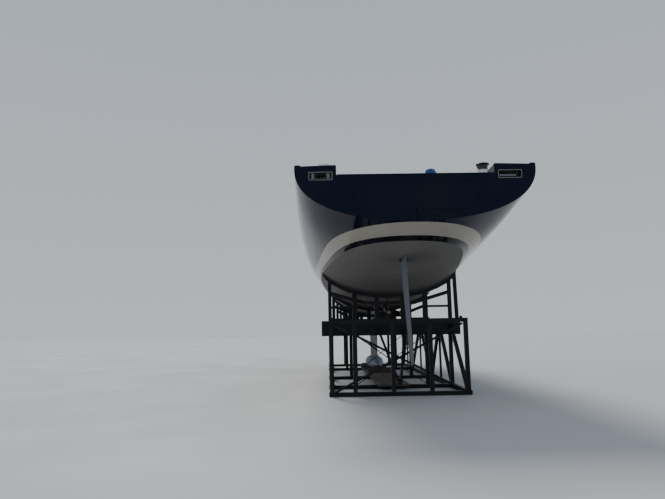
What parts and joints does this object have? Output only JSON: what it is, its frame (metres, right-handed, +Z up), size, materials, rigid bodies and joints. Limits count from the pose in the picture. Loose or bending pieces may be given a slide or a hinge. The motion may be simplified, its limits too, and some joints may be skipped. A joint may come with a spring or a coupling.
{
  "type": "sailing yacht in a steel cradle",
  "caption": "Sloop-hulled sailing yacht ashore in its steel cradle, mast unstepped, with fin keel and bulb, spade rudder, steering wheels and a folding transom door.",
  "frame": {"origin": "on the floor under the middle of the hull length, on the centreline", "axes": "+X to starboard, +Y towards the bow, +Z up"},
  "size_m": [5.0554, 22.037, 5.4778],
  "materials": {
    "topsides": "dark navy gloss topside paint",
    "antifouling": "matt off-white antifouling paint",
    "bulb_paint": "lead bulb, painted pale grey",
    "black_plastic": "black bearing plastic",
    "stainless": "polished stainless steel",
    "bronze": "dark tarnished bronze",
    "teak": "weathered teak planking with dark caulking",
    "white_moulding": "satin white moulded laminate",
    "alloy": "anodised aluminium",
    "smoked_glass": "smoked acrylic",
    "black_winch": "black anodised aluminium",
    "cradle_steel": "near-black painted steel, worn",
    "timber": "rough sawn timber, weathered",
    "white_cloth": "white cotton cloth",
    "blue_cloth": "blue canvas"
  },
  "bodies": {
    "yacht": {"hull": "topsides", "keel_fin": "antifouling", "keel_bulb": "bulb_paint", "rudder_bearing": "black_plastic", "shaft_strut": "bronze", "deck": "teak", "cockpit": "white_moulding", "coachroof": "white_moulding", "hatch_rails": "alloy", "companionway_steps": "teak", "deck_moulding": "white_moulding", "saloon_lining": "white_moulding", "winch_cover_port": "white_cloth", "deck_cloth": "blue_cloth", "mast_collar": "alloy", "stem_fitting": "stainless", "winch_quarter_port": "black_winch", "winch_quarter_stbd": "black_winch", "winch_primary_port": "black_winch", "winch_primary_stbd": "black_winch", "cradle_frame_1": "cradle_steel", "cradle_frame_2": "cradle_steel", "cradle_frame_3": "cradle_steel", "cradle_frame_4": "cradle_steel", "cradle_frame_5": "cradle_steel", "cradle_centre_brace": "cradle_steel", "keel_bed": "timber", "bulwark_port": "topsides", "coachroof_glass_port": "smoked_glass", "winch_pod_port": "white_moulding", "quarter_box_port": "topsides", "chainplate_port": "stainless", "fairlead_port": "stainless", "pedestal_port": "white_moulding", "cradle_side_port": "cradle_steel", "bulwark_stbd": "topsides", "coachroof_glass_stbd": "smoked_glass", "winch_pod_stbd": "white_moulding", "quarter_box_stbd": "topsides", "chainplate_stbd": "stainless", "fairlead_stbd": "stainless", "pedestal_stbd": "white_moulding", "cradle_side_stbd": "cradle_steel"},
    "rudder": {"rudder": "antifouling"},
    "propeller": {"propeller": "bronze", "propeller_shaft": "stainless"},
    "steering_wheel_port": {"steering_wheel_port": "stainless"},
    "steering_wheel_stbd": {"steering_wheel_stbd": "stainless"},
    "transom_door": {"transom_door": "topsides"},
    "companionway_hatch": {"companionway_hatch": "smoked_glass"},
    "companionway_door": {"companionway_door": "smoked_glass"},
    "lazarette_lid_port": {"lazarette_lid_port": "teak"},
    "lazarette_lid_stbd": {"lazarette_lid_stbd": "teak"},
    "foredeck_hatch_aft": {"foredeck_hatch_aft": "smoked_glass"},
    "foredeck_hatch_fwd": {"foredeck_hatch_fwd": "smoked_glass"},
    "anchor_locker_lid": {"anchor_locker_lid": "teak"}
  },
  "joints": [
    {"name": "rudder_turn", "type": "hinge", "parent": "yacht", "child": "rudder", "pos_m": [0, -8.9, 3.20652], "axis": [0, 0.2588, 0.9659], "range_deg": [-35, 35]},
    {"name": "propeller_spin", "type": "hinge", "parent": "yacht", "child": "propeller", "pos_m": [0, -5.44, 2.12], "axis": [0, 0.9925, 0.1219], "continuous": true},
    {"name": "steering_wheel_port_turn", "type": "hinge", "parent": "yacht", "child": "steering_wheel_port", "pos_m": [-1.05, -7.15342, 4.98078], "axis": [0, 0.9999, 0.01], "range_deg": [-270, 270]},
    {"name": "steering_wheel_stbd_turn", "type": "hinge", "parent": "yacht", "child": "steering_wheel_stbd", "pos_m": [1.05, -7.15342, 4.98078], "axis": [0, 0.9999, 0.01], "range_deg": [-270, 270]},
    {"name": "transom_door_swing", "type": "hinge", "parent": "yacht", "child": "transom_door", "pos_m": [0, -11.02, 3.925], "axis": [1, 0, 0], "range_deg": [0, 92]},
    {"name": "companionway_hatch_slide", "type": "slide", "parent": "yacht", "child": "companionway_hatch", "axis": [0, 0.9999, 0.01], "range_m": [0, 0.74]},
    {"name": "companionway_door_swing", "type": "hinge", "parent": "yacht", "child": "companionway_door", "pos_m": [-0.336, -2.66842, 5.00333], "axis": [0, 0.01, -0.9999], "range_deg": [0, 105]},
    {"name": "lazarette_lid_port_swing", "type": "hinge", "parent": "yacht", "child": "lazarette_lid_port", "pos_m": [-1.07, -9.65043, 4.6695], "axis": [0, -0.9999, -0.01], "range_deg": [0, 95]},
    {"name": "lazarette_lid_stbd_swing", "type": "hinge", "parent": "yacht", "child": "lazarette_lid_stbd", "pos_m": [1.07, -9.65043, 4.6695], "axis": [0, 0.9999, 0.01], "range_deg": [0, 95]},
    {"name": "foredeck_hatch_aft_swing", "type": "hinge", "parent": "yacht", "child": "foredeck_hatch_aft", "pos_m": [0, 4.55886, 4.81159], "axis": [-1, 0, 0], "range_deg": [0, 95]},
    {"name": "foredeck_hatch_fwd_swing", "type": "hinge", "parent": "yacht", "child": "foredeck_hatch_fwd", "pos_m": [0, 6.77875, 4.83379], "axis": [-1, 0, 0], "range_deg": [0, 95]},
    {"name": "anchor_locker_lid_swing", "type": "hinge", "parent": "yacht", "child": "anchor_locker_lid", "pos_m": [0, 9.27863, 4.85879], "axis": [-1, 0, 0], "range_deg": [0, 95]}
  ],
  "couplings": [
    {"joint": "steering_wheel_port_turn", "follows": "rudder_turn", "ratio": 7.7143},
    {"joint": "steering_wheel_stbd_turn", "follows": "rudder_turn", "ratio": 7.7143}
  ]
}
